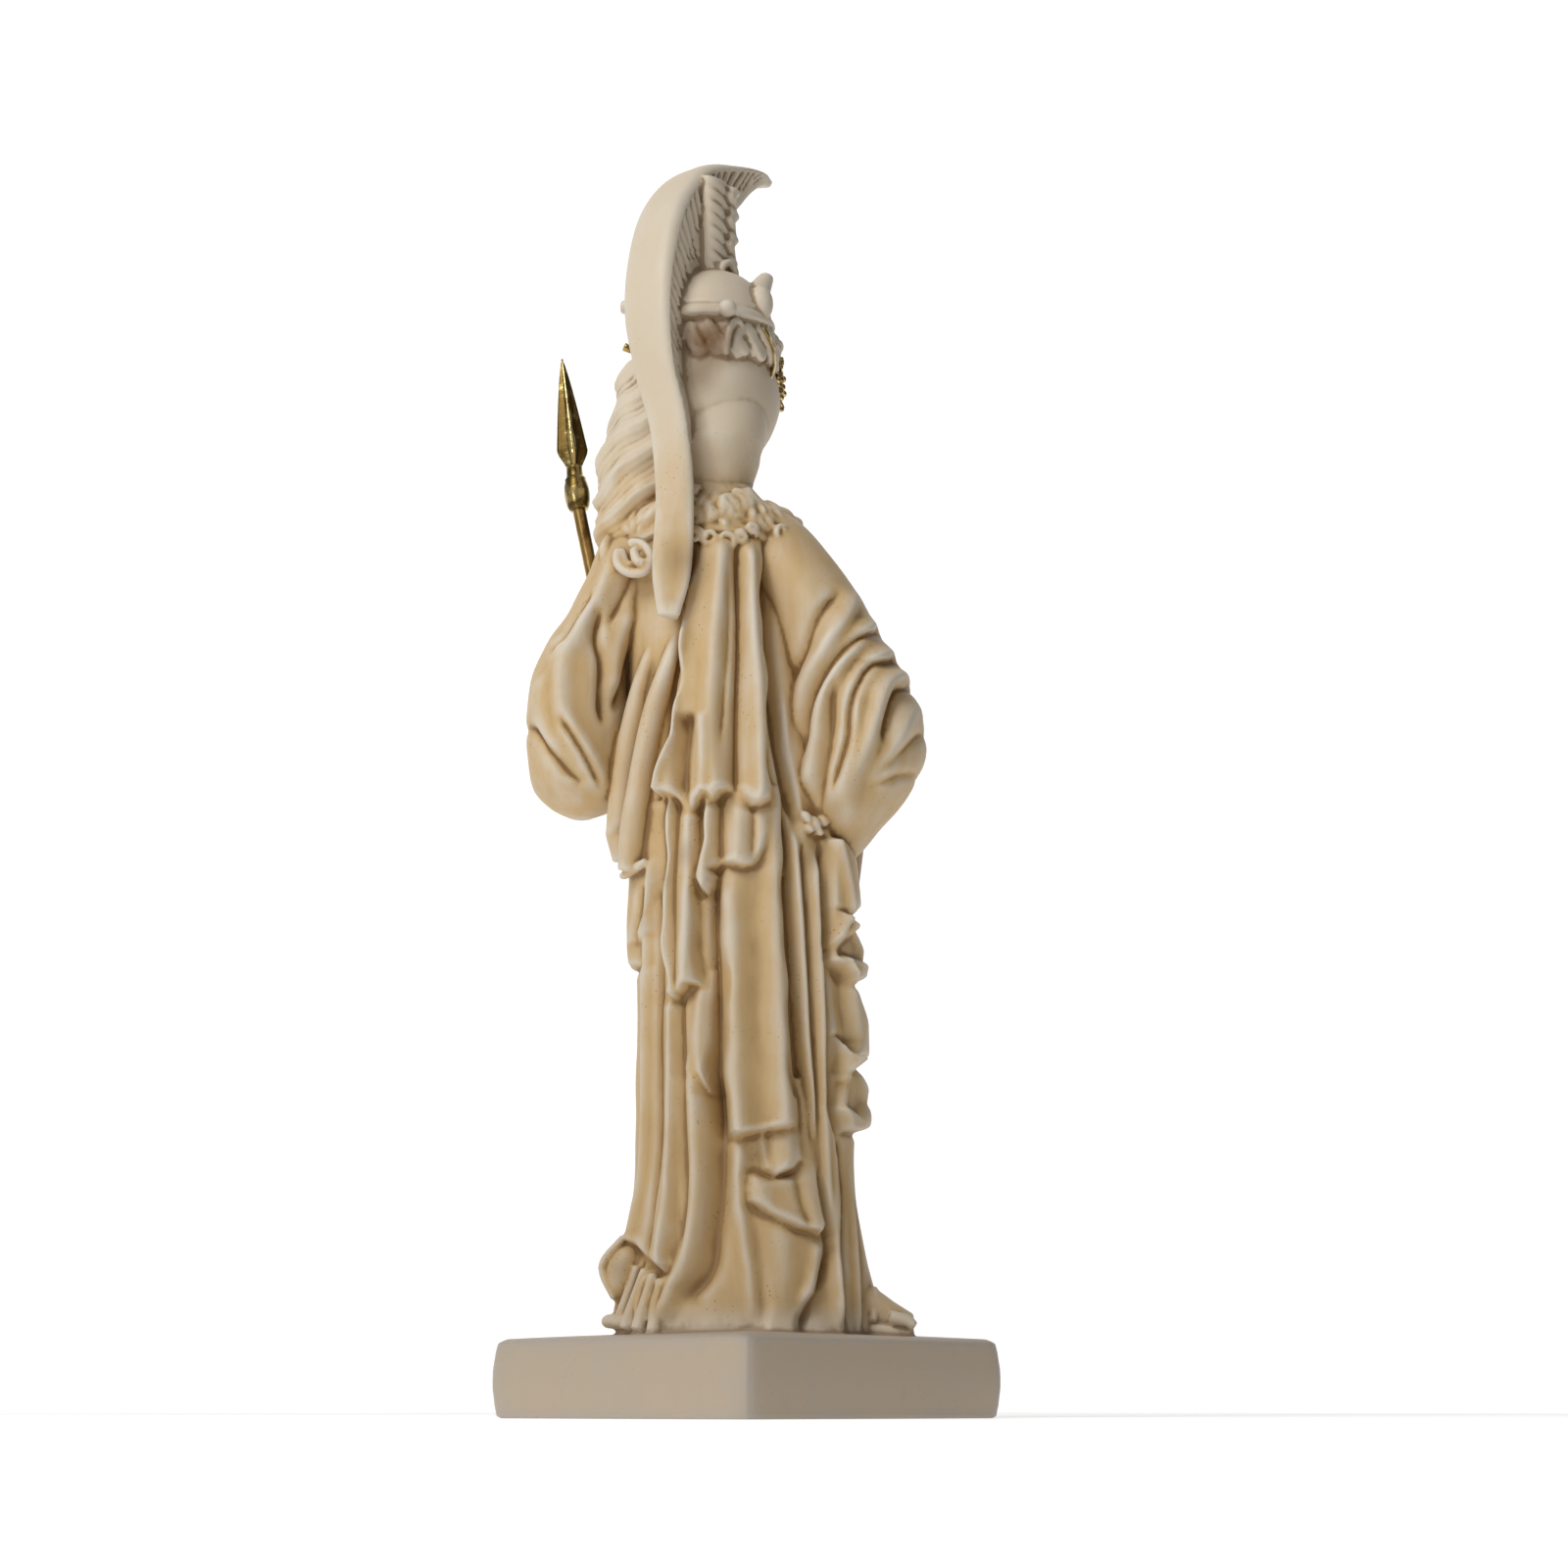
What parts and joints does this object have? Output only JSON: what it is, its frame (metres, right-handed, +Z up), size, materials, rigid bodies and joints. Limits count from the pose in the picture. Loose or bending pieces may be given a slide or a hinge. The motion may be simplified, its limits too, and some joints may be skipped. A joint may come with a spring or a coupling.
{
  "type": "helmeted goddess statuette",
  "caption": "Cast stone figure of a standing goddess in a crested helmet and draped mantle, on a square plinth, with a metal spear and a gilt leaf wreath.",
  "frame": {"origin": "the centre of the plinth's flat underside", "axes": "+Z up; the plinth's sides run along X and Y; the figure faces -Y, turned a little to its right"},
  "size_m": [0.0842, 0.0785, 0.2605],
  "materials": {
    "cast_stone": "matte",
    "copper_brown_rod": "satin",
    "spear_brass": "satin",
    "wreath_gilt": "satin"
  },
  "bodies": {
    "root": {"statue": "cast_stone", "spear_shaft": "copper_brown_rod", "spear_head": "spear_brass", "gilt_wreath": "wreath_gilt"}
  },
  "joints": []
}
